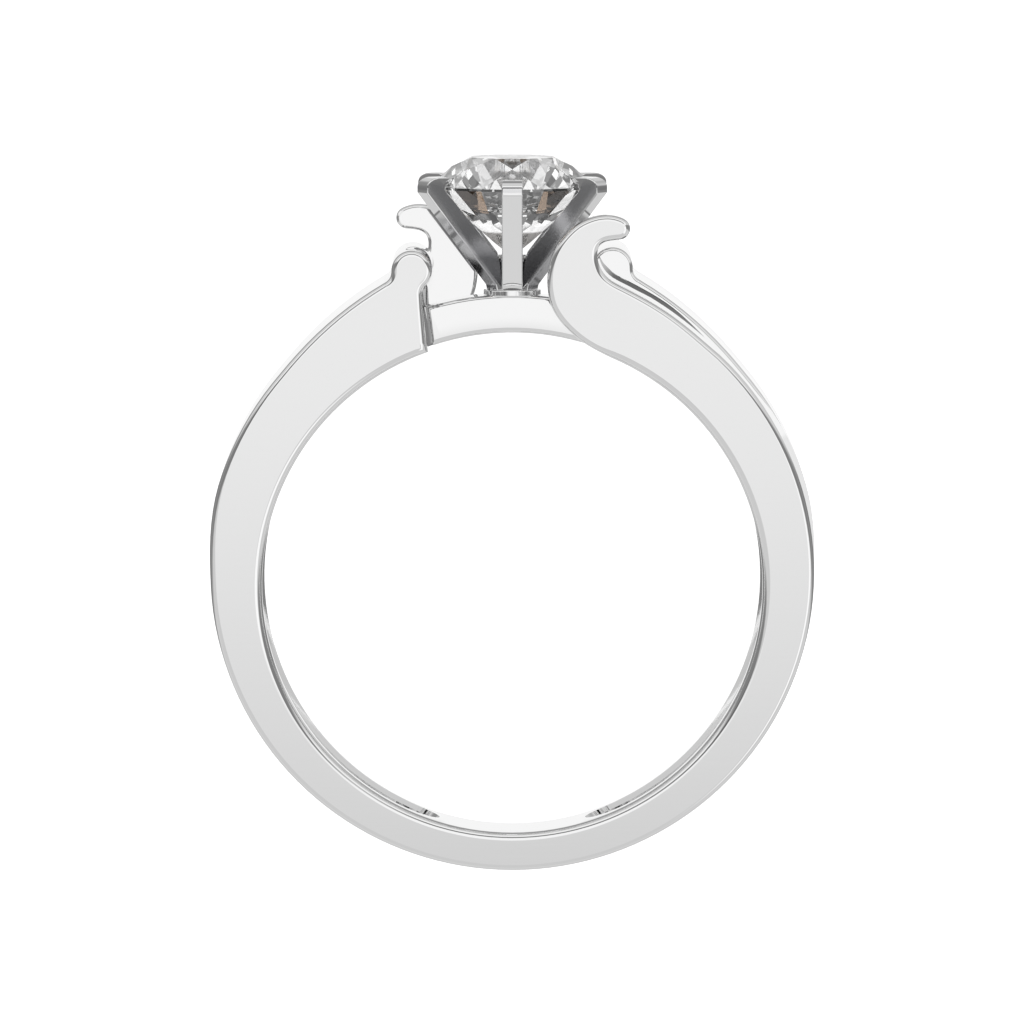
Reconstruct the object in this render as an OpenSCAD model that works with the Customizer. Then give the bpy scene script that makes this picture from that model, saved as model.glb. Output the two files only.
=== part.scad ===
// Solitaire ring with split shoulders and a six-prong setting, lying on its side.
// Inside the modules the ring is drawn upright: the finger hole runs along Z and the stone
// is at the top, at +Y. lay_down() then turns it onto its back face.

/* [Finger hole] */
// Diameter of the finger hole
finger_d = 17.3; // [17.0:0.05:17.5]

/* [Band] */
// Radius of the band's outer curve
band_r = 10.43; // [10.2:0.01:10.6]
// How far the outer curve's centre lies above the finger hole's
band_rise = 0.45; // [0.3:0.01:0.6]
// Half the band's width at the height of the hole's centre
half_width = 2.48; // [2.3:0.01:2.7]
// How much each side moves outward for each mm towards the stone
side_rise = 0.088; // [0.06:0.001:0.09]

/* [Channels inside the band] */
// Width of the rim on each side of a channel
rim_w = 0.6; // [0.4:0.05:0.8]
// Depth of a channel below the finger surface
channel_depth = 0.165; // [0.16:0.001:0.17]
// Angle from the bottom of the band to a channel's round end
channel_foot = 17; // [12:1:25]
// Angle of a channel's upper end above the hole's centre
channel_top = 42; // [30:1:43]

/* [Shoulders] */
// Thickness of the scroll arm
scroll_t = 0.8; // [0.6:0.05:1.0]
// Height at which the band splits into two arms
split_y = 5.8; // [5.2:0.1:6.4]
// How fast the slot between the arms opens, for each mm above the split
slot_growth = 0.173; // [0.12:0.001:0.2]
// How far the knob arm's edge stands out past the scroll arm's
lane_step = 0.17; // [0.05:0.01:0.2]
// How much further it stands out at its top end
lane_flare = 0.42; // [0.2:0.01:0.45]
// Radius of the round knob
knob_r = 0.70; // [0.6:0.01:0.7]

/* [Bridge] */
// Radius of the bridge's outer face about the finger hole
bridge_r = 9.99; // [9.7:0.01:10.0]
// Width of the bridge along the finger
bridge_w = 1.6; // [1.2:0.1:2.0]

/* [Setting] */
// Width of one prong
prong_w = 0.72; // [0.5:0.02:0.9]
// Radius of the round foot
foot_r = 1.0; // [0.9:0.05:1.2]
// Height of the foot's top above the hole's centre
foot_y = 10.14; // [10.1:0.01:10.2]
// Radius of the peg below the foot
peg_r = 0.5; // [0.4:0.05:0.6]
// Radius of the solid core that the prongs grow from
core_r = 0.64; // [0.62:0.01:0.7]
// Length of the peg below the bridge's outer face
peg_l = 0.74; // [0.5:0.02:0.9]

/* [Stone] */
// Diameter of the stone at its girdle
stone_d = 5.6; // [5.4:0.05:5.6]
// Height of the girdle's lower edge above the hole's centre
girdle_y = 13.66; // [13.66:0.01:13.68]
// Thickness of the girdle
girdle_t = 0.08; // [0.04:0.01:0.1]
// Angle of the crown's main facets
crown_angle = 37.5; // [36:0.5:38]
// Angle of the pavilion's main facets
pavilion_angle = 40.75; // [40.5:0.25:41.25]
// Width of the table from corner to corner, as a share of the diameter
table_share = 0.54; // [0.52:0.01:0.6]
// Turn of the stone about its own axis
stone_turn = 22.5; // [0:0.5:45]

/* [Hidden] */
$fn = 180;
span = 60;              // a block larger than the whole ring
seat_gap = 0.02;        // gap between the setting's metal and the bridge
finger_r = finger_d / 2;
rest_tilt = atan(side_rise);
inner_half = half_width - scroll_t;    // height of the step between the two arms' edges
slot_rise = slot_growth - side_rise;
slot_start = inner_half + (side_rise + slot_rise) * split_y;
hole_half = 3.3;        // half the width of the opening under the stone, cut from the band

// Knob arm's edge: the angles it runs between and where its flare begins
edge_from = 176;
edge_to = 112.8;
flare_from = 138;
edge_count = 32;

// Rows of centre x, centre y, radius, first angle and last angle
neck = [-4.60, 10.95, 0.44, -67.2, 1.5];
knob = [-3.46, 10.98, knob_r, 181.5, -50];

// Cut end of the knob arm, from under the knob down into the finger hole
arm_end = [[-3.115, 10.3], [-3.075, 9.7], [-2.96, 8.5], [-2.86, 7.5]];

// Outline of the scroll arm, from the finger hole around the scroll to the band's outer curve
scroll_line = [
    [3.45, 7.93], [2.85, 8.24], [2.40, 8.52], [1.98, 8.87], [1.62, 9.27], [1.36, 9.71],      // foot
    [1.235, 10.2], [1.205, 10.7], [1.28, 11.2], [1.47, 11.72], [1.80, 12.19], [2.26, 12.60], // back
    [2.80, 12.84], [3.30, 12.905], [3.70, 12.83], [3.96, 12.68], [4.05, 12.46], [3.99, 12.22], // tip
    [3.80, 12.075], [3.50, 12.035], [3.20, 11.975], [3.00, 11.82], [2.925, 11.58], [2.96, 11.28],
    [3.12, 10.92], [3.43, 10.61], [4.05, 10.28], [4.74, 9.90], [5.44, 9.45], [6.12, 8.93], [6.8, 8.348]];

// Prong's side view: rows of distance from the stone's axis and height
prong_side = [
    [0.56, 10.06], [0.80, 10.06], [0.86, 10.3],     // root
    [3.59, 13.57], [3.59, 13.80],                   // outer edge
    [3.44, 14.01], [3.22, 14.10], [2.72, 14.10],    // back of the claw
    [2.58, 14.05], [2.58, 13.98],                   // tip of the claw
    [2.825, 13.81], [2.825, 13.61], [2.62, 13.41],  // notch around the girdle
    [0.80, 11.38], [0.66, 11.0]];                   // inner edge

function ease(t) = let (c = min(1, max(0, t))) c * c * (3 - 2 * c);
function turn(a) = [cos(a), sin(a)];
function arc(row, count = 16) = [for (i = [0:count])
    [row[0], row[1]] + row[2] * turn(row[3] + (row[4] - row[3]) * i / count)];
// Smooth curve through a row of points
function smooth(p, count = 3) = [for (i = [0:len(p) - 2]) for (k = [0:count - 1])
    let (t = k / count, a = p[max(0, i - 1)], b = p[i], c = p[i + 1], d = p[min(len(p) - 1, i + 2)])
    b + (c - a) * t / 2 + (2 * a - 5 * b + 4 * c - d) * t * t / 2 + (3 * b - a - 3 * c + d) * t * t * t / 2];

// Distance from the hole's centre to the band's outer curve
function band_edge(a) = band_rise * sin(a) + sqrt(pow(band_r, 2) - pow(band_rise * cos(a), 2));
// The same to the knob arm's edge, on the left
function arm_edge(a) = band_edge(a) + lane_step * ease((180 - a) / 20)
    + lane_flare * pow(max(0, flare_from - a) / (flare_from - edge_to), 1.4);

// Blocks with one sloped face: below and above the plane z = start + rise * y
module below(start, rise) {
    translate([0, 0, start]) rotate([atan(rise), 0, 0])
        translate([-span / 2, -span / 2, -span]) cube(span);
}
module above(start, rise) {
    translate([0, 0, start]) rotate([atan(rise), 0, 0])
        translate([-span / 2, -span / 2, 0]) cube(span);
}
module tall() {
    translate([0, 0, -span / 2]) linear_extrude(span) children();
}
// The ring is the same after half a turn about the line through its stone
module and_half_turn() {
    children();
    rotate([0, 180, 0]) children();
}
module lay_down() {
    rotate([rest_tilt, 0, 0]) children();
}

// Wedge-shaped slot between the two arms on the left
module slot() {
    intersection() {
        above(-inner_half, -side_rise);
        below(-slot_start, slot_rise);
        translate([-span, 0, -span / 2]) cube(span);
    }
}

// Round band up to the arms, before the finger hole is cut
module hoop() {
    difference() {
        intersection() {
            tall() translate([0, band_rise]) circle(band_r);
            below(half_width, side_rise);
            above(-half_width, -side_rise);
        }
        translate([-hole_half, 0, -span / 2]) cube([2 * hole_half, span, span]);
        and_half_turn() slot();
    }
}

module knob_arm() {
    intersection() {
        tall() polygon(concat(
            [[-9.3, 0.4]],
            [for (i = [0:edge_count])
                let (a = edge_from + (edge_to - edge_from) * i / edge_count)
                arm_edge(a) * turn(a)],
            arc(neck), arc(knob, 32), arm_end, [[-5, 0.4]]));
        below(half_width, side_rise);
        above(-inner_half, -side_rise);
        above(-slot_start, slot_rise);
    }
}

module scroll_arm() {
    intersection() {
        tall() polygon(concat([[3.75, 7.75]], smooth(scroll_line), [[6.8, 8.348], [6.2, 6.9], [3.9, 8.2]]));
        below(half_width, side_rise);
        above(inner_half, side_rise);
    }
}

module bridge() {
    translate([0, 0, -bridge_w / 2]) linear_extrude(bridge_w) intersection() {
        circle(bridge_r);
        polygon([[0, 0], 2 * bridge_r * turn(66), 2 * bridge_r * turn(114)]);
    }
}

// Shallow channel in the finger surface on the right, with a round lower end
module channel() {
    foot_r = half_width - side_rise * finger_r - rim_w;
    foot_angle = channel_foot - 90 + asin(foot_r / finger_r);
    floor_r = finger_r + channel_depth;
    intersection() {
        union() {
            tall() polygon([[0, 0], span * turn(foot_angle), span * turn(channel_top)]);
            rotate([0, 90, foot_angle]) cylinder(r = foot_r, h = span);
        }
        tall() circle(floor_r);
        below(half_width - rim_w, side_rise);
        above(rim_w - half_width, -side_rise);
    }
}

module band() {
    color("gainsboro") lay_down() difference() {
        union() {
            hoop();
            and_half_turn() {
                knob_arm();
                scroll_arm();
            }
            bridge();
        }
        tall() circle(finger_r);
        and_half_turn() channel();
        translate([0, bridge_r - peg_l - 2 * seat_gap, 0]) rotate([-90, 0, 0])
            cylinder(r = peg_r + seat_gap, h = 2);
    }
}

module setting() {
    color("silver") lay_down() {
        difference() {
            translate([0, bridge_r - peg_l, 0]) rotate([-90, 0, 0]) {
                cylinder(r = peg_r, h = foot_y - bridge_r + peg_l);
                translate([0, 0, peg_l / 2]) cylinder(r = foot_r, h = foot_y - bridge_r + peg_l / 2);
            }
            difference() {
                tall() circle(bridge_r + seat_gap);
                translate([0, bridge_r - span / 2, 0]) rotate([-90, 0, 0]) cylinder(r = peg_r, h = span);
            }
        }
        rotate([-90, 0, 0]) rotate_extrude()
            polygon([[0, foot_y - 0.05], [core_r, foot_y - 0.05], [core_r, 11.3], [0, 11.05]]);
        for (i = [0:5]) rotate([0, 90 + 60 * i, 0])
            translate([0, 0, -prong_w / 2]) linear_extrude(prong_w) polygon(prong_side);
    }
}

// Ring of points about the stone's axis
function ring(count, first, radius, height) = [for (i = [0:count - 1])
    concat(radius * turn(first + 360 / count * i), height)];

module stone() {
    girdle_r = stone_d / 2;
    table_r = girdle_r * table_share;
    crown_h = (girdle_r - table_r) * tan(crown_angle);
    // The star facets end halfway out, the lower halves at 0.23 of the radius
    star_r = (table_r * cos(22.5) + girdle_r) / 2;
    star_h = (girdle_r - star_r * cos(22.5)) * tan(crown_angle);
    half_r = 0.23 * girdle_r;
    half_h = (girdle_r - half_r * cos(22.5)) * tan(pavilion_angle);
    // First point of each ring
    star = 8;
    top = 16;
    low = 32;
    half = 48;
    culet = 56;
    points = concat(
        ring(8, 0, table_r, girdle_t + crown_h), ring(8, 22.5, star_r, girdle_t + star_h),
        ring(16, 0, girdle_r, girdle_t), ring(16, 0, girdle_r, 0),
        ring(8, 22.5, half_r, -half_h), [[0, 0, -girdle_r * tan(pavilion_angle)]]);
    faces = concat(
        [[for (i = [7:-1:0]) i]],
        [for (i = [0:7]) [i, (i + 1) % 8, star + i]],
        [for (i = [0:7]) [i, star + i, top + 2 * i, star + (i + 7) % 8]],
        [for (i = [0:7]) [star + i, top + 2 * i + 1, top + 2 * i]],
        [for (i = [0:7]) [star + i, top + (2 * i + 2) % 16, top + 2 * i + 1]],
        [for (i = [0:15]) [low + i, top + i, top + (i + 1) % 16, low + (i + 1) % 16]],
        [for (i = [0:7]) [half + i, low + 2 * i, low + 2 * i + 1]],
        [for (i = [0:7]) [half + i, low + 2 * i + 1, low + (2 * i + 2) % 16]],
        [for (i = [0:7]) [culet, half + (i + 7) % 8, low + 2 * i, half + i]]);
    color("aliceblue") lay_down() translate([0, girdle_y, 0]) rotate([-90, 0, 0])
        rotate([0, 0, stone_turn]) polyhedron(points, faces);
}

band();
setting();
stone();
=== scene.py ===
import math
import random

import bmesh
import bpy
from mathutils import Matrix, Vector


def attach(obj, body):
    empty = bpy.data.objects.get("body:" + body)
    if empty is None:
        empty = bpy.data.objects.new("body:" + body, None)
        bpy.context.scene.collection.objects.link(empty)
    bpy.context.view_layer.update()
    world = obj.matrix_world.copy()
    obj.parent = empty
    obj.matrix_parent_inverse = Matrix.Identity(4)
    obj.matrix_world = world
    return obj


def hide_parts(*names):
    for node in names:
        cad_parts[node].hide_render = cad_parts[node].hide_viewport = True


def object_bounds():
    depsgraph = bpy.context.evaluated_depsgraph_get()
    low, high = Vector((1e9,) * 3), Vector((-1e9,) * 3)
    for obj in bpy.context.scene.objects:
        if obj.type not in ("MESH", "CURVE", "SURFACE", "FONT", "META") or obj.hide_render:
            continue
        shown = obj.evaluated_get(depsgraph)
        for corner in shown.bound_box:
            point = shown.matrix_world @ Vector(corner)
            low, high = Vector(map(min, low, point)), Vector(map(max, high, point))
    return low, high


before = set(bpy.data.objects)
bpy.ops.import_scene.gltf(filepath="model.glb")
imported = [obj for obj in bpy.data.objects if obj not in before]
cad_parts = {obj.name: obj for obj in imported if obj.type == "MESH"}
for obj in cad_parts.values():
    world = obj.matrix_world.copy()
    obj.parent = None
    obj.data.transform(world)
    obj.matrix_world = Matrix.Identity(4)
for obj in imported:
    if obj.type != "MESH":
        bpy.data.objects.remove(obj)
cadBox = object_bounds()
scene = bpy.context.scene
mm = 0.001


# The pieces are drawn upright, in millimetres: the finger hole along Z, the stone at +Y.
# Then the whole ring is turned onto its back face.
pose = {
    "sideRise": 0.088,        # how much each side face moves outward for each mm towards the stone
}
restTilt = math.atan(pose["sideRise"])
layDown = Matrix.Rotation(restTilt, 4, "X") @ Matrix.Scale(mm, 4)
stoneUp = Matrix.Rotation(-math.pi / 2, 4, "X")  # a piece drawn about Z, turned to stand along +Y

sameWithin = 0.001            # mm or degrees: closer than this is the same place
mergeWithin = 0.0004          # mm, for points that meet
brokenWithin = 0.0001         # mm, for edges too short to keep

crisp = {
    "angle": 35,              # degrees: a sharper edge stays an edge in the reflections
    "besideFlat": 12.0,       # the same beside a large flat face
    "flatArea": 1e-6,         # square metres: a larger face counts as large
    "tinyArea": 2.5e-9,       # square metres: a smaller face isn't smoothed
}


def turned(degrees, radius=1.0):
    angle = math.radians(degrees)
    return Vector((math.cos(angle) * radius, math.sin(angle) * radius))


def polarOf(point):
    return math.degrees(math.atan2(point.y, point.x))


def ease(t):
    t = min(1.0, max(0.0, t))
    return t * t * (3 - 2 * t)


def steps(first, last, size):
    count = max(1, math.ceil(abs(last - first) / size))
    return [first + (last - first) * i / count for i in range(count + 1)]


def arc(row, size=8.0):
    centre = Vector(row["centre"])
    return [centre + turned(a, row["radius"]) for a in steps(row["from"], row["to"], size)]


def quarterArc(x, y, radius, first, size):
    # A rounded corner about x, y: a quarter of a turn on from the first angle
    angles = [math.radians(t) for t in range(first, first + 91, size)]
    return [(x + radius * math.cos(a), y + radius * math.sin(a)) for a in angles]


def smoothLine(corners, count=4):
    # A smooth curve through a row of points
    corners = [Vector(corner) for corner in corners]
    points = []
    for i in range(len(corners) - 1):
        a, b, c, d = [corners[min(max(k, 0), len(corners) - 1)] for k in range(i - 1, i + 3)]
        for step in range(count):
            t = step / count
            points.append(b + (c - a) * t / 2 + (2 * a - 5 * b + 4 * c - d) * t ** 2 / 2
                          + (3 * b - a - 3 * c + d) * t ** 3 / 2)
    return points + corners[-1:]


def roundedCorner(before, corner, after, reach, count=4):
    start = corner + (before - corner).normalized() * reach
    end = corner + (after - corner).normalized() * reach
    points = []
    for i in range(count + 1):
        t = i / count
        points.append((1 - t) ** 2 * start + 2 * t * (1 - t) * corner + t ** 2 * end)
    return points


def sweptSolid(rings):
    # A closed solid through rings of points
    size = len(rings[0])
    points = [tuple(point) for ring in rings for point in ring]
    faces = [list(range(size)), [(len(rings) - 1) * size + s for s in range(size)]]
    for a in range(len(rings) - 1):
        for s in range(size):
            t = (s + 1) % size
            faces.append([a * size + s, a * size + t, (a + 1) * size + t, (a + 1) * size + s])
    return points, faces


def bothHalves(points, faces):
    # Adds the same again after half a turn about the stone's axis
    shift = len(points)
    turnedPoints = [(-x, y, -z) for x, y, z in points]
    return points + turnedPoints, faces + [[i + shift for i in face] for face in faces]


def meshFrom(name, points, faces, placing):
    # Merges the points that meet, turns every face outward and puts the mesh in place
    mesh = bpy.data.meshes.new(name)
    mesh.from_pydata(points, [], faces)
    work = bmesh.new()
    work.from_mesh(mesh)
    bmesh.ops.remove_doubles(work, verts=work.verts, dist=mergeWithin)
    bmesh.ops.dissolve_degenerate(work, edges=work.edges, dist=brokenWithin)
    bmesh.ops.recalc_face_normals(work, faces=work.faces)
    openEdges = sum(1 for edge in work.edges if len(edge.link_faces) != 2)
    work.transform(placing)
    work.to_mesh(mesh)
    work.free()
    print(name, len(mesh.polygons), "faces,", openEdges, "open edges")
    return mesh


def shownAs(name, mesh):
    piece = bpy.data.objects.new(name, mesh)
    scene.collection.objects.link(piece)
    return piece


def settled(piece):
    # Turns the evaluated piece into a plain mesh without modifiers
    view = bpy.context.evaluated_depsgraph_get()
    mesh = bpy.data.meshes.new_from_object(piece.evaluated_get(view), depsgraph=view)
    mesh.name = piece.name
    piece.modifiers.clear()
    piece.data = mesh


def combined(piece, operation, name, points, faces):
    # Joins a solid on, or cuts it out, and leaves the piece a plain mesh
    other = shownAs(name, meshFrom(name, points, faces, layDown))
    modifier = piece.modifiers.new(name, "BOOLEAN")
    modifier.operation = operation
    modifier.solver = "MANIFOLD"
    modifier.object = other
    settled(piece)
    bpy.data.objects.remove(other)


def flatNormals(piece):
    # Flat faces stay flat in the reflections, and only the roundings between them are smooth.
    # A face that leans against a large flat one stays crisp at a smaller angle,
    # and so do the tiny faces where a rounding runs out
    work = bmesh.new()
    work.from_mesh(piece.data)
    for face in work.faces:
        face.smooth = True
    for edge in work.edges:
        if len(edge.link_faces) == 2:
            smaller, larger = sorted(face.calc_area() for face in edge.link_faces)
            limit = crisp["besideFlat"] if larger > crisp["flatArea"] else crisp["angle"]
            edge.smooth = smaller > crisp["tinyArea"] and edge.calc_face_angle() < math.radians(limit)
    work.to_mesh(piece.data)
    work.free()
    weighted = piece.modifiers.new("flat faces first", "WEIGHTED_NORMAL")
    weighted.mode = "FACE_AREA"
    weighted.weight = 100
    weighted.keep_sharp = True
    settled(piece)


class Wire:
    # A socket that takes part in Python arithmetic; every operator adds a Math node
    def __init__(self, graph, socket):
        self.graph = graph
        self.socket = socket

    def maths(self, operation, *values):
        return self.graph.add("ShaderNodeMath", {"operation": operation}, dict(enumerate(values)))

    def __add__(self, other):
        return self.maths("ADD", self, other)

    def __radd__(self, other):
        return self.maths("ADD", other, self)

    def __sub__(self, other):
        return self.maths("SUBTRACT", self, other)

    def __rsub__(self, other):
        return self.maths("SUBTRACT", other, self)

    def __mul__(self, other):
        return self.maths("MULTIPLY", self, other)

    def __rmul__(self, other):
        return self.maths("MULTIPLY", other, self)

    def __truediv__(self, other):
        return self.maths("DIVIDE", self, other)

    def __rtruediv__(self, other):
        return self.maths("DIVIDE", other, self)

    def __pow__(self, other):
        return self.maths("POWER", self, other)

    def __abs__(self):
        return self.maths("ABSOLUTE", self)

    def larger(self, other):
        return self.maths("MAXIMUM", self, other)

    def above(self, edge):
        # 0 below the edge's first value, 1 above its second, and smooth between them
        low, high = edge
        return self.graph.add("ShaderNodeMapRange", {"interpolation_type": "SMOOTHSTEP"},
                              {"Value": self, "From Min": low, "From Max": high})

    def below(self, edge):
        return 1 - self.above(edge)


class Graph:
    def __init__(self, tree):
        self.tree = tree
        tree.nodes.clear()

    def add(self, kind, settings=None, values=None, output=0):
        # Adds one node: its settings first, then the values or links of its sockets
        node = self.tree.nodes.new(kind)
        for name, value in (settings or {}).items():
            setattr(node, name, value)
        for name, value in (values or {}).items():
            socket = node.inputs[name]
            if isinstance(value, Wire):
                self.tree.links.new(value.socket, socket)
            else:
                socket.default_value = value
        return Wire(self, node.outputs[output]) if node.outputs else node

    def parts(self, vector):
        node = self.add("ShaderNodeSeparateXYZ", {}, {"Vector": vector}).socket.node
        return [Wire(self, socket) for socket in node.outputs]

    def mixed(self, factor, first, second):
        # Two colours; 6 and 7 are the Mix node's colour sockets
        values = {"Factor": factor, 6: first, 7: second}
        return self.add("ShaderNodeMix", {"data_type": "RGBA"}, values, output=2)


print("band")
band = {
    "holeRadius": 8.65,
    "edgeRadius": 10.43,      # outer curve
    "edgeRise": 0.45,         # its centre above the hole's
    "halfWidth": 2.48,        # at the height of the hole's centre
    "scrollThickness": 0.8,
    "splitHeight": 5.8,       # where the hoop splits into a knob arm and a scroll arm
    "slotGrowth": 0.173,      # how much the slot between them widens for each mm above that
    "laneStep": 0.17,         # how far the knob arm's edge stands out past the scroll arm's
    "laneStepRun": 20,        # degrees that it takes to grow to that
    "laneFlare": 0.42,        # how much further out it turns near the neck
    "laneFlareCurve": 1.4,
    "rimWidth": 0.6,
    "channelDepth": 0.165,
    "channelSlope": 0.14,     # width of its sloped sides
    "channelFoot": 17.0,      # degrees from the bottom
    "channelTop": 130.5,
    "armTop": 112.8,          # degrees, where the knob arm's edge turns into the neck
    "flareFrom": 138.0,
    "edgeRounding": 0.2,
    "holeRounding": 0.27,
    "roundingBlends": 4,      # times that neighbouring roundings are evened out
    "slotRounding": 0.13,
    "slotRoundingRun": 1.6,   # how far from the split it takes to grow to that
    "roundingSteps": 5,
    "cornerStretch": 0.6,     # the smaller, the further a rounding may reach in a sharp corner
    "degreesPerStep": 2.5,
    "footDegrees": 15,        # step around the channel's round foot
    "knob": {"centre": (-3.46, 10.98), "radius": 0.70, "from": -50, "to": 181.5},
    "neck": {"centre": (-4.60, 10.95), "radius": 0.44, "from": 1.5, "to": -67.2},
    "armEnd": [(-2.96, 8.5), (-3.02, 9.1), (-3.075, 9.7), (-3.115, 10.3)],
    "armEndRounding": 0.14,
    "armEndAngle": 109.6,     # where the arm's cut end meets the hole
    "scrollEndAngle": 66.9,   # where the scroll leaves the hole
    "scrollLine": [           # the scroll arm's outline, from its outer curve around to the hole
        (6.8, 8.348), (6.12, 8.93), (5.44, 9.45), (4.74, 9.90), (4.05, 10.28), (3.43, 10.61),
        (3.12, 10.92), (2.96, 11.28), (2.925, 11.58), (3.00, 11.82), (3.20, 11.975), (3.50, 12.035),
        (3.80, 12.075), (3.99, 12.22), (4.05, 12.46), (3.96, 12.68), (3.70, 12.83), (3.30, 12.905),
        (2.80, 12.84), (2.26, 12.60), (1.80, 12.19), (1.47, 11.72), (1.28, 11.2), (1.205, 10.7),
        (1.235, 10.2), (1.36, 9.71), (1.62, 9.27), (1.98, 8.87), (2.40, 8.52), (2.85, 8.24)],
}


def bandEdge(angle):
    a = math.radians(angle)
    rise = band["edgeRise"]
    radius = rise * math.sin(a) + math.sqrt(band["edgeRadius"] ** 2 - (rise * math.cos(a)) ** 2)
    return turned(angle, radius)


def armEdge(angle):
    flare = max(0.0, band["flareFrom"] - angle) / (band["flareFrom"] - band["armTop"])
    step = band["laneStep"] * ease((180 - angle) / band["laneStepRun"])
    return bandEdge(angle) + turned(angle, step + band["laneFlare"] * flare ** band["laneFlareCurve"])


def frontHeight(y):
    return band["halfWidth"] + pose["sideRise"] * y


def laneHeight(y):
    return frontHeight(y) - band["scrollThickness"]


def slotHeight(y):
    start = band["splitHeight"]
    return laneHeight(start) - (band["slotGrowth"] - pose["sideRise"]) * (y - start)


def channelHalf(fromBottom):
    # Half the channel's width at an angle from the bottom, or None where there is no channel
    radius = band["holeRadius"]
    foot = frontHeight(-radius) - band["rimWidth"]
    centre = band["channelFoot"] + math.degrees(foot / radius)
    if fromBottom < band["channelFoot"] - sameWithin or fromBottom > band["channelTop"] + sameWithin:
        return None
    if fromBottom <= centre:
        back = math.radians(centre - fromBottom) * radius
        return math.sqrt(max(0.0, foot * foot - back * back))
    return frontHeight(-radius * math.cos(math.radians(fromBottom))) - band["rimWidth"]


def holeAngles(top):
    # Angles from the bottom up to the split, closer together around the channel's round foot
    size = band["degreesPerStep"]
    foot = band["channelFoot"]
    reach = math.degrees((frontHeight(-band["holeRadius"]) - band["rimWidth"]) / band["holeRadius"])
    rounding = [foot + reach * (1 - math.cos(math.radians(t))) for t in range(0, 91, band["footDegrees"])]
    angles = steps(0, foot, size)[:-1] + rounding
    return angles + steps(foot + reach, band["channelTop"], size)[1:] + [top]


def bandOutline():
    # Seen from the front, anticlockwise around the metal: rows of point and part
    rows = []

    def put(part, points):
        for point in points:
            if not rows or (point - rows[-1][0]).length > sameWithin:
                rows.append((point, part))

    size = band["degreesPerStep"]
    radius = band["holeRadius"]
    corner = turned(band["armEndAngle"], radius)
    end = [Vector(p) for p in band["armEnd"]]
    knob = arc(band["knob"])
    put("knobArm", [corner] + end[:-1])
    put("knobArm", roundedCorner(end[-2], end[-1], knob[0], band["armEndRounding"]))
    put("knobArm", knob)
    put("knobArm", arc(band["neck"]))
    splitSine = (band["splitHeight"] - band["edgeRise"]) / band["edgeRadius"]
    outerSplit = polarOf(bandEdge(180 - math.degrees(math.asin(splitSine))))
    put("knobArm", [armEdge(a) for a in steps(band["armTop"], outerSplit, size)])
    put("left", [armEdge(a) for a in steps(outerSplit, 180, size)])
    put("left", [bandEdge(a) for a in steps(180, 270, size)])
    put("right", [bandEdge(a) for a in steps(270, 360, size)])
    put("right", [bandEdge(a) for a in steps(0, 180 - outerSplit, size)])
    scroll = band["scrollLine"]
    scrollFoot = turned(band["scrollEndAngle"], radius)
    scrollFrom = math.degrees(math.atan2(scroll[0][1], scroll[0][0]))
    put("scrollArm", [bandEdge(a) for a in steps(180 - outerSplit, scrollFrom, size)][:-1])
    put("scrollArm", smoothLine(scroll + [scrollFoot]))
    innerSplit = math.degrees(math.asin(band["splitHeight"] / radius))
    put("scrollArm", [turned(a, radius) for a in steps(band["scrollEndAngle"], innerSplit, size)])
    columns = holeAngles(90 + innerSplit)
    put("hole", [turned(u - 90, radius) for u in reversed(columns)])
    put("hole", [turned(-u - 90, radius) for u in columns])
    put("knobArm", [turned(a, radius) for a in steps(180 - innerSplit, band["armEndAngle"], size)][:-1])
    return rows


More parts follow.
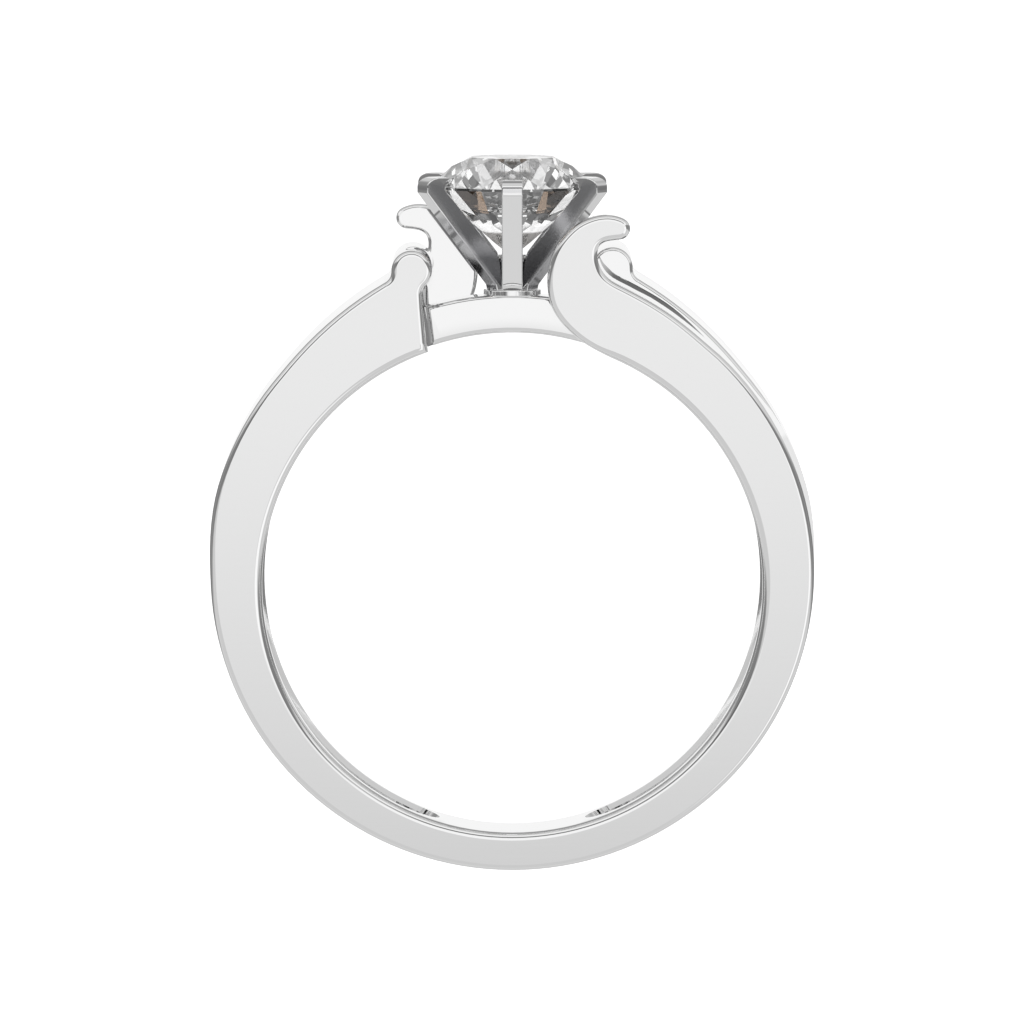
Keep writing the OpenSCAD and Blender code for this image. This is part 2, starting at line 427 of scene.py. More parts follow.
def bandHalf():
    # Front half of the band. The back half is the same after half a turn about the stone's axis
    rows = bandOutline()
    count = len(rows)
    radius = band["holeRadius"]
    points = []
    faces = []

    def add(x, y, z):
        points.append((x, y, z))
        return len(points) - 1

    rounding = []
    for point, part in rows:
        inside = abs(point.length - radius) < 10 * sameWithin
        rounding.append(band["holeRounding"] if inside else band["edgeRounding"])
    for _ in range(band["roundingBlends"]):
        rounding = [(rounding[i - 1] + 2 * here + rounding[(i + 1) % count]) / 4
                    for i, here in enumerate(rounding)]

    parts = [part for _, part in rows]
    first = parts.index("hole")
    last = count - 1 - parts[::-1].index("hole")
    leftEnd = parts.index("left")
    scrollStart = parts.index("scrollArm") - 1
    splits = [rows[i][0] for i in (first - 1, last, leftEnd - 1, scrollStart)]
    slotRounding = []
    for point, part in rows:
        fromSplit = min((point - split).length for split in splits)
        grown = ease(fromSplit / band["slotRoundingRun"]) if part in ("knobArm", "scrollArm") else 0
        slotRounding.append(band["slotRounding"] * grown)

    # Two rings of points at each place of the outline: around the front edge, and around the slot's
    top = band["roundingSteps"]
    turns = [math.radians(90 * k / top) for k in range(top + 1)]
    rings = []
    lowRings = []
    for i, (point, part) in enumerate(rows):
        before = (point - rows[i - 1][0]).normalized()
        after = (rows[(i + 1) % count][0] - point).normalized()
        along = (before + after).normalized()
        outward = Vector((along.y, -along.x)) / max(band["cornerStretch"], along.dot(after))
        ring = []
        for angle in turns:
            inset = point - outward * rounding[i] * (1 - math.cos(angle))
            height = frontHeight(inset.y) - rounding[i] * (1 - math.sin(angle))
            ring.append(add(inset.x, inset.y, height))
        rings.append(ring)
        if part == "hole":
            lowRings.append(None)
            continue
        # The slot's faces run down to the middle at the bottom of the ring, where the two halves meet
        polar = polarOf(point)
        fade = 1 - ease(min(-polar, polar + 180) / 90)
        low = []
        for angle in turns:
            inset = point - outward * slotRounding[i] * (1 - math.cos(angle))
            if part in ("knobArm", "left"):
                height = max(-laneHeight(inset.y), -slotHeight(inset.y)) * fade
            else:
                height = laneHeight(inset.y) * fade
            low.append(add(inset.x, inset.y, height + slotRounding[i] * (1 - math.sin(angle))))
        lowRings.append(low)

    # Front face, edges and outer walls
    faces.append([ring[top] for ring in rings])
    for i in range(count):
        j = (i + 1) % count
        for k in range(top):
            faces.append([rings[i][k], rings[j][k], rings[j][k + 1], rings[i][k + 1]])
        if lowRings[i] and lowRings[j]:
            faces.append([lowRings[i][0], lowRings[j][0], rings[j][0], rings[i][0]])
            for k in range(top if slotRounding[i] + slotRounding[j] > 0 else 0):
                faces.append([lowRings[i][k], lowRings[j][k], lowRings[j][k + 1], lowRings[i][k + 1]])
    lows = [low and low[top] for low in lowRings]

    # Finger surface, with the channel's rim, side and floor
    chains = {}
    for i in range(first - 1, last + 1):
        point = rows[i][0]
        fromBottom = abs(math.degrees(math.atan2(point.x, -point.y)))
        half = channelHalf(fromBottom)
        reach = min(1.0, (half or 0) / (2 * band["channelSlope"]))
        deep = point.normalized() * (radius + band["channelDepth"] * reach)
        middle = add(point.x, point.y, 0)
        if half is None:
            chains[i] = ([rings[i][0], middle], None)
            continue
        rim = add(point.x, point.y, half)
        edge = add(deep.x, deep.y, half - band["channelSlope"] * reach)
        floor = add(deep.x, deep.y, 0)
        plain = [rings[i][0], rim] + ([middle] if half > 10 * sameWithin else [])
        chains[i] = (plain, [rings[i][0], rim, edge, floor])
        if abs(fromBottom - band["channelTop"]) < 10 * sameWithin:
            faces.append([rim, edge, floor, middle])
    wallTop, middle = chains[first - 1][0]
    chains[first - 1] = ([wallTop, lows[first - 1], middle], None)
    for i in range(first - 1, last):
        (plainA, cutA), (plainB, cutB) = chains[i], chains[i + 1]
        if cutA and cutB:
            for k in range(3):
                faces.append([cutA[k], cutA[k + 1], cutB[k + 1], cutB[k]])
        else:
            faces.append([plainA[-1]] + plainB[::-1] + plainA[:-1])

    # Where the finger surface meets the knob arm
    leftPoint = rows[last][0]
    leftSplit = add(leftPoint.x, leftPoint.y, -laneHeight(leftPoint.y))
    following = last + 1
    faces.append([chains[last][0][-1], leftSplit] + lowRings[following][::-1]
                 + [rings[following][0], rings[last][0]])

    # Step between the two arms' edges on the left
    laneLow = []
    for i in range(leftEnd - 1, count):
        polar = polarOf(rows[i][0])
        if "left" in (parts[i], parts[(i + 1) % count]) and polar > 0:
            inner = bandEdge(polar)
            laneLow.append((lows[i], add(inner.x, inner.y, -laneHeight(inner.y))))
    for (outerA, innerA), (outerB, innerB) in zip(laneLow, laneLow[1:]):
        faces.append([outerA, outerB, innerB, innerA])

    # Faces that look into the slot
    knobCap = [leftSplit] + lows[following:] + lows[:leftEnd] + [laneLow[0][1]]
    faces.append(knobCap[::-1])
    faces.append(lows[scrollStart:first][::-1])
    return points, faces


bandPiece = shownAs("band_metal", meshFrom("band_metal", *bothHalves(*bandHalf()), layDown))


print("bridge")
bridge = {
    "innerRadius": 8.655,     # a little more than the hole's, so that bar and band share no face
    "outerRadius": 9.99,
    "halfWidth": 0.8,
    "outerRounding": 0.14,
    "innerRounding": 0.2,
    "roundingDegrees": 18,
    "halfAngle": 26.0,
    "degreesPerStep": 2.5,
}


def bridgeBar():
    # Rounded bar section, swept about the finger hole's axis
    low, high, half = bridge["innerRadius"], bridge["outerRadius"], bridge["halfWidth"]
    section = []
    for radius, z, rounding, first in (
            (high, half, bridge["outerRounding"], 0), (high, -half, bridge["outerRounding"], -90),
            (low, -half, bridge["innerRounding"], -180), (low, half, bridge["innerRounding"], -270)):
        inward = rounding if radius == low else -rounding
        centre = Vector((radius + inward, z - math.copysign(rounding, z)))
        turns = range(first + 90, first - 1, -bridge["roundingDegrees"])
        section += [centre + turned(t, rounding) for t in turns]
    angles = steps(90 - bridge["halfAngle"], 90 + bridge["halfAngle"], bridge["degreesPerStep"])
    return sweptSolid([[(*turned(angle, radius), z) for radius, z in section] for angle in angles])


combined(bandPiece, "UNION", "bridge_bar", *bridgeBar())


print("grooves")
groove = {
    "endGap": 0.13,           # between the bar's end and the knob arm
    "endGapAt": 9.43,         # the height where it is that wide
    "endGapGrowth": 0.05,     # for each mm further in
    "endGapSpan": (7.9, 9.95),
    "endGapDepth": 0.55,
    "endGapDip": 0.03,        # how much deeper the middle of its floor is
    "endRounding": 0.1,
    "endRoundingDegrees": 15,
    "wallBite": 0.01,         # how far the cut goes into the knob arm's wall
    "cutAbove": 0.2,          # how far the cut starts above the bar's face
    "scrollCut": [(9.2, 0.14), (10.0, 0.17), (10.4, 0.08)],  # height and width in the scroll behind
    "scrollCutPast": (0.09, 0.06),  # how far it reaches past the arm's wall, above and at its floor
    "scrollCutLean": 0.02,    # how much its other side leans in
    "scrollCutEdge": 0.05,    # depth of that side, and how far above the face it starts
    "scrollCutDepth": 0.07,
    "laneCorners": 9,         # how much of the scroll's outline the groove follows
    "laneStart": 0.05,        # from the scroll's outline
    "laneWidth": 0.15,
    "laneDepth": 0.038,
    "laneAhead": 0.4,         # run that it has already grown for at its start
    "laneStartRun": 2.6,
    "laneEndRun": 0.9,
    "laneLeast": 0.04,        # least share of its width and depth
    "laneCutAbove": 0.15,
}


def grooveCuts():
    points = []
    faces = []

    def put(rings):
        solid = sweptSolid(rings)
        shift = len(points)
        points.extend(solid[0])
        faces.extend([i + shift for i in face] for face in solid[1])

    def armWall(y):
        (x0, y0), (x1, y1) = band["armEnd"][0], band["armEnd"][2]
        return x0 + (x1 - x0) * (y - y0) / (y1 - y0)

    # Gap between the bar's rounded end and the knob arm
    rings = []
    rounding = groove["endRounding"]
    top = bridge["halfWidth"]
    bottom = top - groove["endGapDepth"]
    for y in groove["endGapSpan"]:
        wall = armWall(y) - groove["wallBite"]
        end = armWall(y) + groove["endGap"] + groove["endGapGrowth"] * (groove["endGapAt"] - y)
        section = [(wall, top + groove["cutAbove"]), (end + rounding, top + groove["cutAbove"])]
        section += quarterArc(end + rounding, top - rounding, rounding, 90, groove["endRoundingDegrees"])
        section += [(end, bottom), ((wall + end) / 2, bottom - groove["endGapDip"]), (wall, bottom)]
        rings.append([(x, y, z) for x, z in section])
    put(rings)

    # The same gap carried on in the scroll behind
    rings = []
    past, footPast = groove["scrollCutPast"]
    for y, width in groove["scrollCut"]:
        wall = armWall(y)
        top = -laneHeight(y)
        high, low = top + groove["scrollCutEdge"], top - groove["scrollCutEdge"]
        rings.append([(wall - past, y, high), (wall + width, y, high),
                      (wall + width - groove["scrollCutLean"], y, low),
                      (wall - footPast, y, top - groove["scrollCutDepth"])])
    put(rings)

    # Shallow groove in the other knob arm along the scroll's outline
    line = smoothLine(band["scrollLine"][:groove["laneCorners"]], 3)
    walked = [0.0]
    for a, b in zip(line, line[1:]):
        walked.append(walked[-1] + (b - a).length)
    rings = []
    for i in range(1, len(line) - 1):
        along = (line[i + 1] - line[i - 1]).normalized()
        outward = Vector((along.y, -along.x))
        share = ease((walked[i] + groove["laneAhead"]) / groove["laneStartRun"])
        share = share * ease((walked[-1] - walked[i]) / groove["laneEndRun"])
        share = max(groove["laneLeast"], share)
        near = line[i] + outward * groove["laneStart"]
        far = near + outward * groove["laneWidth"] * share
        height = slotHeight(near.y)
        above = height + groove["laneCutAbove"]
        rings.append([(*near, height), (*far, slotHeight(far.y) - groove["laneDepth"] * share),
                      (*far, above), (*near, above)])
    put(rings)
    return points, faces


combined(bandPiece, "DIFFERENCE", "groove_cuts", *bothHalves(*grooveCuts()))
flatNormals(bandPiece)
print("band with bridge", len(bandPiece.data.polygons), "faces")


print("setting")
setting = {
    "prongCount": 6,
    "firstProng": 90.0,
    "prongWidth": 0.72,
    "edgeBevel": 0.07,
    "edgeBevelSteps": 3,
    "edgeBevelFrom": 25,      # degrees: flatter edges aren't rounded
    "footRadius": 1.0,
    "footBottom": 9.96,
    "footTop": 10.14,
    "footBevel": 0.05,
    "footBevelDegrees": 18,
    "core": [(0.0, 10.1), (0.64, 10.1), (0.64, 11.26), (0.60, 11.30), (0.0, 11.05)],
    "side": [  # a prong's side view: distance from the stone's axis and height
        (0.56, 10.06), (0.80, 10.06), (0.86, 10.3),
        (3.59, 13.57), (3.59, 13.76), (3.575, 13.85), (3.53, 13.93), (3.46, 13.995),
        (3.37, 14.045), (3.27, 14.08), (3.15, 14.10), (2.72, 14.10),
        (2.58, 14.05), (2.58, 13.98),
        (2.825, 13.81), (2.825, 13.61), (2.62, 13.41),
        (0.80, 11.38), (0.66, 11.0)],
}


def prongBlade():
    # One prong as a flat plate, drawn about the stone's axis
    half = setting["prongWidth"] / 2
    side = setting["side"]
    size = len(side)
    points = [(r, -half, h) for r, h in side] + [(r, half, h) for r, h in side]
    faces = [list(range(size)), [size + i for i in range(size)][::-1]]
    faces += [[i, (i + 1) % size, size + (i + 1) % size, size + i] for i in range(size)]
    return points, faces


def prongRing():
    # Geometry nodes that set the one prong around the stone
    tree = bpy.data.node_groups.new("prongs around the stone", "GeometryNodeTree")
    face = tree.interface
    face.new_socket("Prong", in_out="INPUT", socket_type="NodeSocketGeometry")
    face.new_socket("Count", in_out="INPUT", socket_type="NodeSocketInt")
    face.new_socket("First Angle", in_out="INPUT", socket_type="NodeSocketFloat")
    face.new_socket("Metal", in_out="INPUT", socket_type="NodeSocketMaterial")
    face.new_socket("Prongs", in_out="OUTPUT", socket_type="NodeSocketGeometry")
    graph = Graph(tree)
    given = graph.add("NodeGroupInput").socket.node
    prong, number, first, metal = [Wire(graph, given.outputs[i]) for i in range(4)]
    place = graph.add("GeometryNodePoints", {}, {"Count": number})
    index = graph.add("GeometryNodeInputIndex")
    angle = first + index * (math.tau / number)
    around = graph.add("ShaderNodeCombineXYZ", {}, {"Z": angle})
    copies = graph.add("GeometryNodeInstanceOnPoints", {},
                       {"Points": place, "Instance": prong, "Rotation": around})
    whole = graph.add("GeometryNodeRealizeInstances", {}, {"Geometry": copies})
    dressed = graph.add("GeometryNodeSetMaterial", {}, {"Geometry": whole, "Material": metal})
    graph.add("NodeGroupOutput", {}, {0: dressed})
    return tree


def latheMesh(name, profile, count=96):
    # Turns rows of radius and height about Z; the first and last rows lie on the axis
    points = []
    for radius, height in profile:
        points += [(*turned(360 * i / count, radius), height) for i in range(count)]
    faces = []
    for row in range(len(profile) - 1):
        low, high = row * count, (row + 1) * count
        for i in range(count):
            j = (i + 1) % count
            faces.append([low + i, low + j, high + j, high + i])
    return meshFrom(name, points, faces, Matrix.Identity(4))


def footProfile():
    bevel, radius, top = setting["footBevel"], setting["footRadius"], setting["footTop"]
    rounded = quarterArc(radius - bevel, top - bevel, bevel, 0, setting["footBevelDegrees"])
    return [(0, setting["footBottom"]), (radius, setting["footBottom"])] + rounded + [(0, top)]


whiteGold = bpy.data.materials.new("polished_white_gold")
# The setting's metal carries painted shade between the prongs
settingGoldWithPaintedShade = bpy.data.materials.new("setting_white_gold_painted_shade")
diamond = bpy.data.materials.new("diamond")

settingPiece = shownAs("prong_setting", meshFrom("prong_setting", *prongBlade(), Matrix.Identity(4)))
softened = settingPiece.modifiers.new("rounded edges", "BEVEL")
softened.width = setting["edgeBevel"]
softened.segments = setting["edgeBevelSteps"]
softened.limit_method = "ANGLE"
softened.angle_limit = math.radians(setting["edgeBevelFrom"])
around = settingPiece.modifiers.new("prongs around the stone", "NODES")
around.node_group = prongRing()
sockets = [item for item in around.node_group.interface.items_tree if item.in_out == "INPUT"]
inputs = {item.name: item.identifier for item in sockets}
around[inputs["Count"]] = setting["prongCount"]
around[inputs["First Angle"]] = math.radians(setting["firstProng"])
around[inputs["Metal"]] = settingGoldWithPaintedShade
settled(settingPiece)

footMesh = latheMesh("prong_foot", footProfile())
coreMesh = latheMesh("prong_core", setting["core"])
whole = bmesh.new()
for mesh in (settingPiece.data, footMesh, coreMesh):
    whole.from_mesh(mesh)
whole.transform(layDown @ stoneUp)
whole.to_mesh(settingPiece.data)
whole.free()
flatNormals(settingPiece)
print("prong setting", len(settingPiece.data.polygons), "faces")


print("stone")
brilliant = {
    "radius": 2.8,
    "girdleBottom": 13.66,
    "girdleThickness": 0.08,
    "crownAngle": 37.5,
    "pavilionAngle": 40.75,
    "tableShare": 0.54,
    "starShare": 0.5,         # how far out the star facets reach, from the table to the girdle
    "lowerHalfPlace": 0.23,   # where the lower halves end, as a share of the radius
    "turn": 22.5,             # degrees about its own axis
    # Painted glints: chosen crown facets glow faintly
    "paintedGlintSeed": 4,
    "paintedGlintChoices": (0.0, 0.5, 1.0),
    "paintedWarmReflectionBetween": (24, 43),  # degrees to either side of the front and back prongs: lower facets there get a painted warm reflection
}


def roundBrilliant():
    # Eight mains and stars, sixteen halves above and below, numbered ring by ring from the table down
    cut = brilliant
    radius = cut["radius"]
    crown = math.tan(math.radians(cut["crownAngle"]))
    pavilion = math.tan(math.radians(cut["pavilionAngle"]))
    halfStep = 360 / 16
    quarter = math.cos(math.radians(halfStep))
    girdle = cut["girdleThickness"]
    table = radius * cut["tableShare"]
    star = table * quarter + (radius - table * quarter) * cut["starShare"]
    lower = radius * cut["lowerHalfPlace"]

    def ring(count, first, distance, height):
        return [(*turned(first + 360 / count * i, distance), height) for i in range(count)]

    points = ring(8, 0, table, girdle + (radius - table) * crown)
    points += ring(8, halfStep, star, girdle + (radius - star * quarter) * crown)
    points += ring(16, 0, radius, girdle) + ring(16, 0, radius, 0)
    points += ring(8, halfStep, lower, -(radius - lower * quarter) * pavilion)
    points += [(0, 0, -radius * pavilion)]
    stars, top, low, halves, culet = 8, 16, 32, 48, 56
    faces = [list(range(8))]
    for i in range(8):
        nextMain = (2 * i + 2) % 16
        faces.append([i, stars + i, (i + 1) % 8])
        faces.append([i, stars + (i + 7) % 8, top + 2 * i, stars + i])
        faces.append([stars + i, top + 2 * i, top + 2 * i + 1])
        faces.append([stars + i, top + 2 * i + 1, top + nextMain])
        faces.append([halves + i, low + 2 * i + 1, low + 2 * i])
        faces.append([halves + i, low + nextMain, low + 2 * i + 1])
        faces.append([culet, halves + i, low + 2 * i, halves + (i + 7) % 8])
    for i in range(16):
        j = (i + 1) % 16
        faces.append([low + i, low + j, top + j, top + i])
    return points, faces


stonePlace = layDown @ stoneUp @ Matrix.Translation((0, 0, brilliant["girdleBottom"]))
ownTurn = Matrix.Rotation(math.radians(brilliant["turn"]), 4, "Z")
stonePlace = stonePlace @ ownTurn
stonePiece = shownAs("round_brilliant", meshFrom("round_brilliant", *roundBrilliant(), stonePlace))

# Each crown facet gets its own share of painted glint, a faint glow of its own,
# and the lower ones beside the front and back prongs get a painted warm reflection
chance = random.Random(brilliant["paintedGlintSeed"])
paintedGlint = stonePiece.data.attributes.new("paintedGlint", "FLOAT", "FACE")
paintedWarmReflection = stonePiece.data.attributes.new("paintedWarmReflection", "FLOAT", "FACE")
stoneBack = stonePlace.inverted()
paintedReflectionFirst, paintedReflectionLast = brilliant["paintedWarmReflectionBetween"]
for facet in stonePiece.data.polygons:
    centre = stoneBack @ facet.center
    spot = ownTurn @ centre
    fromFront = math.degrees(math.atan2(abs(spot.x), abs(spot.y)))
    onCrown = centre.z > brilliant["girdleThickness"] and facet.index > 0
    paintedGlint.data[facet.index].value = chance.choice(brilliant["paintedGlintChoices"]) if onCrown else 0.0
    paintedWarmReflection.data[facet.index].value = 1.0 if centre.z < 0 and paintedReflectionFirst < fromFront < paintedReflectionLast else 0.0


print("finishes")
polish = {
    "colour": (0.93, 0.93, 0.93, 1),
    "roughness": 0.03,
    "roughnessSpread": 0.02,
    "hazeScale": 900.0,
    "hazeDetail": 3.0,
    "hairlineScale": (500.0, 9000.0, 9000.0),
    "hairlineDetail": 2.0,
    "scratchDepth": 0.006,
    "scratchHeight": 0.00001,       # metres
    "paintedShadeColour": (0.74, 0.74, 0.75, 1),  # painted shade between the prongs
    "insideRoughness": 0.14,
    "outerEdge": (0.86, 10.3),      # a point on a prong's outer edge: distance from the axis and height
    "outerSlope": 2.73 / 3.27,
    "innerEdge": (0.80, 11.38),
    "innerSlope": 1.82 / 2.03,
    "edgeFade": (0.05, 0.11),       # how far in from those edges the inside starts
    "besideFront": (0.5, 0.6),      # further to either side than this, all the lower part gets the painted shade and the duller polish
    "besideFrontUpTo": (12.6, 12.75),
    "insideFrom": (10.14, 10.2),    # heights
    "insideUpTo": (13.7, 13.95),
    "deepPaintedShadeColour": (0.24, 0.24, 0.25, 1),    # deeper painted shade low down between the prongs
    "deepPaintedShadeShare": 0.7,
    "deepPaintedShadeUpTo": (10.4, 12.9),
}
gem = {
    "colour": (1, 1, 1, 1),
    # Painted warm reflection in some lower facets
    "paintedWarmReflectionColour": (0.12, 0.065, 0.035, 1),
    "paintedWarmReflectionFrom": (12.8, 12.86),
    # Painted shade: the tip of the stone is dark
    "paintedShadeTipColour": (0.1, 0.095, 0.09, 1),
    "paintedShadeTipUpTo": (12.1, 12.2),
    # Painted glints: the faint glow of the chosen crown facets
    "noPaintedGlint": (0, 0, 0, 1),
    "paintedGlintColour": (0.12, 0.12, 0.12, 1),
    "ior": 2.417,
}
objectSpace = 3               # output of Texture Coordinate
attributeNumber = 2           # output of Attribute


def uprightPlace(graph, place):
    # Object coordinates in the upright ring's millimetres
    return graph.add("ShaderNodeMapping", {}, {
        "Vector": place, "Rotation": (-restTilt, 0, 0), "Scale": (1 / mm, 1 / mm, 1 / mm)})


def paintedShadeAndDullMasks(graph, place):
    # How much a spot lies between the prongs, and how deep down there: masks for the painted shade and
    # the duller polish
    x, y, z = graph.parts(uprightPlace(graph, place))
    away = (x * x + z * z) ** 0.5
    radius, height = polish["outerEdge"]
    fromOuter = (height - y) * -polish["outerSlope"] + radius - away
    radius, height = polish["innerEdge"]
    fromInner = away - radius - (y - height) * polish["innerSlope"]
    sides = abs(x).above(polish["besideFront"]) * y.below(polish["besideFrontUpTo"])
    inside = fromOuter.above(polish["edgeFade"]) * fromInner.above(polish["edgeFade"])
    inside = sides.larger(inside) * y.below(polish["insideUpTo"]) * y.above(polish["insideFrom"])
    return inside, inside * y.below(polish["deepPaintedShadeUpTo"]) * polish["deepPaintedShadeShare"]


def polishedMetal(material, insideDullAndPaintedShade):
    # Mirror polish with the fine haze and hairlines that a polishing wheel leaves, and where asked,
    # painted shade and a duller polish between the prongs
    material.use_nodes = True
    graph = Graph(material.node_tree)
    place = graph.add("ShaderNodeTexCoord", output=objectSpace)
    cloud = graph.add("ShaderNodeTexNoise", {}, {
        "Vector": place, "Scale": polish["hazeScale"], "Detail": polish["hazeDetail"]})
    drawn = graph.add("ShaderNodeMapping", {}, {"Vector": place, "Scale": polish["hairlineScale"]})
    hairline = graph.add("ShaderNodeTexNoise", {}, {
        "Vector": drawn, "Scale": 1.0, "Detail": polish["hairlineDetail"]})
    rough = polish["roughness"] + polish["roughnessSpread"] * (cloud + hairline - 1)
    colour = polish["colour"]
    if insideDullAndPaintedShade:
        # Painted shade between the prongs, darker still low down, with a duller polish there too
        inside, deep = paintedShadeAndDullMasks(graph, place)
        rough = rough + (polish["insideRoughness"] - polish["roughness"]) * inside
        colour = graph.mixed(inside, polish["colour"], polish["paintedShadeColour"])
        colour = graph.mixed(deep, colour, polish["deepPaintedShadeColour"])
    bump = graph.add("ShaderNodeBump", {}, {
        "Strength": polish["scratchDepth"], "Distance": polish["scratchHeight"], "Height": hairline})
    surface = graph.add("ShaderNodeBsdfPrincipled", {}, {
        "Base Color": colour, "Metallic": 1.0, "Roughness": rough, "Normal": bump})
    graph.add("ShaderNodeOutputMaterial", {}, {"Surface": surface})


def clearStone(material):
    # Clear, with a painted warm reflection in some lower facets, painted shade at the tip and painted
    # glints, a faint glow of its own, in the crown
    material.use_nodes = True
    graph = Graph(material.node_tree)
    place = graph.add("ShaderNodeTexCoord", output=objectSpace)
    height = graph.parts(uprightPlace(graph, place))[1]
    warm = graph.add("ShaderNodeAttribute", {"attribute_name": "paintedWarmReflection"}, output=attributeNumber)
    light = graph.add("ShaderNodeAttribute", {"attribute_name": "paintedGlint"}, output=attributeNumber)
    colour = graph.mixed(warm * height.above(gem["paintedWarmReflectionFrom"]), gem["colour"], gem["paintedWarmReflectionColour"])
    colour = graph.mixed(height.below(gem["paintedShadeTipUpTo"]), colour, gem["paintedShadeTipColour"])
    glow = graph.mixed(light, gem["noPaintedGlint"], gem["paintedGlintColour"])
    surface = graph.add("ShaderNodeBsdfPrincipled", {}, {
        "Base Color": colour, "Roughness": 0.0, "IOR": gem["ior"], "Transmission Weight": 1.0,
        "Emission Color": glow, "Emission Strength": 1.0})
    graph.add("ShaderNodeOutputMaterial", {}, {"Surface": surface})


polishedMetal(whiteGold, False)
# The setting gets painted shade between the prongs
polishedMetal(settingGoldWithPaintedShade, True)
clearStone(diamond)
for piece, node, slotName, material in (
        (bandPiece, "band", "white_gold", whiteGold),
        (settingPiece, "setting", "white_gold", settingGoldWithPaintedShade),
        (stonePiece, "stone", "diamond", diamond)):
    piece.data.materials.clear()
    piece.data.materials.append(material)
    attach(piece, "root")
    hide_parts(node)


print("studio")
studio = {
    "floorSize": 1.2,
    "floorColour": (0.9, 0.9, 0.9, 1),
    "floorGlow": 0.9,         # a light table, which keeps the shadow on it faint
    "floorRoughness": 0.9,
    "floorGloss": 0.1,
    "floorDrop": 0.00002,
    "cameraTarget": (-0.01, 2.373, 0.0),  # in the upright ring's millimetres
    "cameraRise": 4.92,       # degrees above the finger hole's axis, towards the stone
    "cameraDistance": 400.0,
    "cameraClip": (0.01, 10.0),
    "focalLength": 405.0,
    "sensorWidth": 36.0,
}
# Brightness of the studio in each direction. A pair of numbers is where something starts and
# where it is full: as the height of the direction, or as its share across or away
lighting = {
    "room": 0.63,
    "sides": 0.22,            # a dark strip at each side
    "sidesEdge": (0.93, 0.985),
    "horizon": 0.06,          # added low down all round
    "horizonEdge": (0.05, 0.3),
    "panel": 0.32,            # added half way up beyond the stone
    "panelFrom": (0.45, 0.55),
    "panelUpTo": (0.72, 0.8),
    "beyondEdge": (0.15, 0.4),
    "cornerPanel": 0.4,       # added at the right front
    "cornerWay": (0.74, -0.67),  # its direction across and away
    "cornerEdge": (0.85, 0.95),
    "cornerFrom": (0.6, 0.7),
    "darkGap": 0.48,          # taken away between the soft box and the panels
    "darkGapFrom": (0.78, 0.84),
    "darkGapSpared": 0.8,     # share of it that the right and the sides are spared
    "nearEdge": (0.2, 0.5),
    "rightEdge": (0.5, 0.95),
    "lowerDark": 0.36,        # taken away below the horizon on the far side and the left
    "lowerFrom": (0.1, 0.35),
    "lowerUpTo": (0.6, 0.8),
    "softBox": 0.88,          # overhead
    "softBoxEdge": (0.9219, 0.9455),
    "softBoxMiddle": 0.10,    # added in its middle
    "softBoxMiddleEdge": (0.9455, 0.985),
    "below": 0.95,            # straight down
    "belowEdge": (0.88, 0.97),
    "leastLevel": 0.0001,     # so that nothing is divided by 0 straight up
}


def paleFloor():
    material = bpy.data.materials.new("pale_floor")
    material.use_nodes = True
    graph = Graph(material.node_tree)
    surface = graph.add("ShaderNodeBsdfPrincipled", {}, {
        "Base Color": studio["floorColour"], "Roughness": studio["floorRoughness"],
        "Specular IOR Level": studio["floorGloss"],
        "Emission Color": studio["floorColour"], "Emission Strength": studio["floorGlow"]})
    graph.add("ShaderNodeOutputMaterial", {}, {"Surface": surface})
    half = studio["floorSize"] / 2
    height = cadBox[0].z - studio["floorDrop"]
    mesh = bpy.data.meshes.new("floor")
    corners = ((-half, -half), (half, -half), (half, half), (-half, half))
    mesh.from_pydata([(x, y, height) for x, y in corners], [], [[0, 1, 2, 3]])
    mesh.materials.append(material)
    floor = shownAs("floor", mesh)
    floor.visible_glossy = False


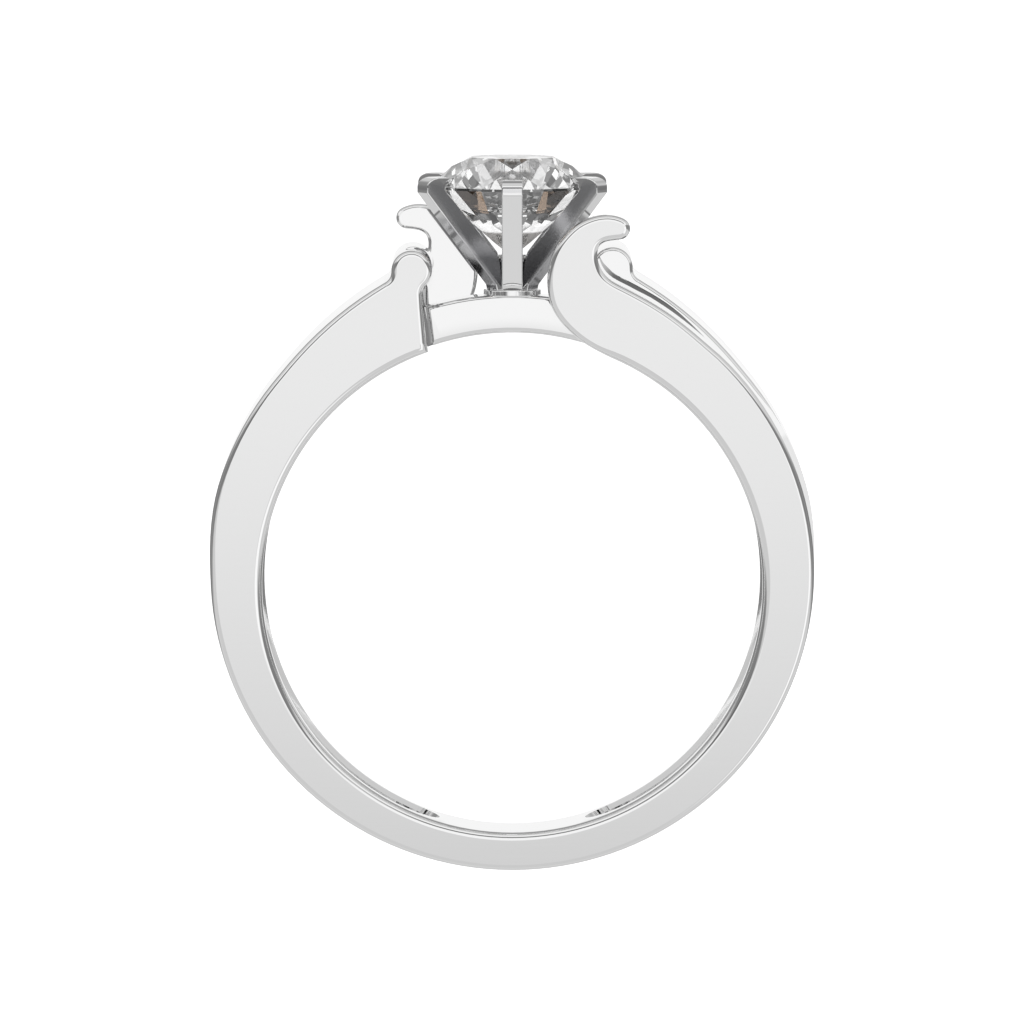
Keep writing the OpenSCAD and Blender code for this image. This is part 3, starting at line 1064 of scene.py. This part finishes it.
def softStudio():
    world = bpy.data.worlds.new("soft studio")
    world.use_nodes = True
    scene.world = world
    sky = Graph(world.node_tree)
    across, away, up = sky.parts(sky.add("ShaderNodeTexCoord"))  # in a world, the direction
    level = (across * across + away * away + lighting["leastLevel"]) ** 0.5
    down = 0 - up
    side = abs(across / level).above(lighting["sidesEdge"])
    right = (across / level).above(lighting["rightEdge"])
    beyond = (away / level).above(lighting["beyondEdge"])
    notNear = (0 - away / level).below(lighting["nearEdge"])
    cornerAcross, cornerAway = lighting["cornerWay"]
    corner = (cornerAcross * across + cornerAway * away) / level

    room = lighting["room"] - (lighting["room"] - lighting["sides"]) * side
    room = room + lighting["horizon"] * abs(up).below(lighting["horizonEdge"])
    panel = beyond * up.above(lighting["panelFrom"]) * up.below(lighting["panelUpTo"])
    cornerPanel = corner.above(lighting["cornerEdge"]) * up.above(lighting["cornerFrom"])
    room = room + lighting["panel"] * panel + lighting["cornerPanel"] * cornerPanel
    spared = lighting["darkGapSpared"]
    gap = notNear * (1 - right * spared) * (1 - side * spared) * up.above(lighting["darkGapFrom"])
    lower = notNear * (1 - right) * (1 - side)
    lower = lower * down.above(lighting["lowerFrom"]) * down.below(lighting["lowerUpTo"])
    room = room - lighting["darkGap"] * gap - lighting["lowerDark"] * lower

    box = up.above(lighting["softBoxEdge"])
    middle = up.above(lighting["softBoxMiddleEdge"])
    light = room + (lighting["softBox"] - room) * box + lighting["softBoxMiddle"] * middle
    light = light + (lighting["below"] - room) * down.above(lighting["belowEdge"])
    background = sky.add("ShaderNodeBackground", {}, {"Color": (1, 1, 1, 1), "Strength": light})
    sky.add("ShaderNodeOutputWorld", {}, {"Surface": background})


def photoCamera():
    rise = math.radians(studio["cameraRise"])
    backward = Vector((0, math.sin(rise), math.cos(rise)))
    upward = Vector((0, math.cos(rise), -math.sin(rise)))
    eye = Vector(studio["cameraTarget"]) + backward * studio["cameraDistance"]
    axes = Matrix((Vector((1, 0, 0)), upward, backward)).transposed().to_4x4()
    camera = bpy.data.objects.new("camera", bpy.data.cameras.new("camera"))
    camera.matrix_world = Matrix.Translation(layDown @ eye) @ Matrix.Rotation(restTilt, 4, "X") @ axes
    camera.data.lens = studio["focalLength"]
    camera.data.sensor_width = studio["sensorWidth"]
    camera.data.clip_start, camera.data.clip_end = studio["cameraClip"]
    scene.collection.objects.link(camera)
    return camera


paleFloor()
softStudio()
bpy.context.scene.camera = photoCamera()
scene.view_settings.view_transform = "Standard"
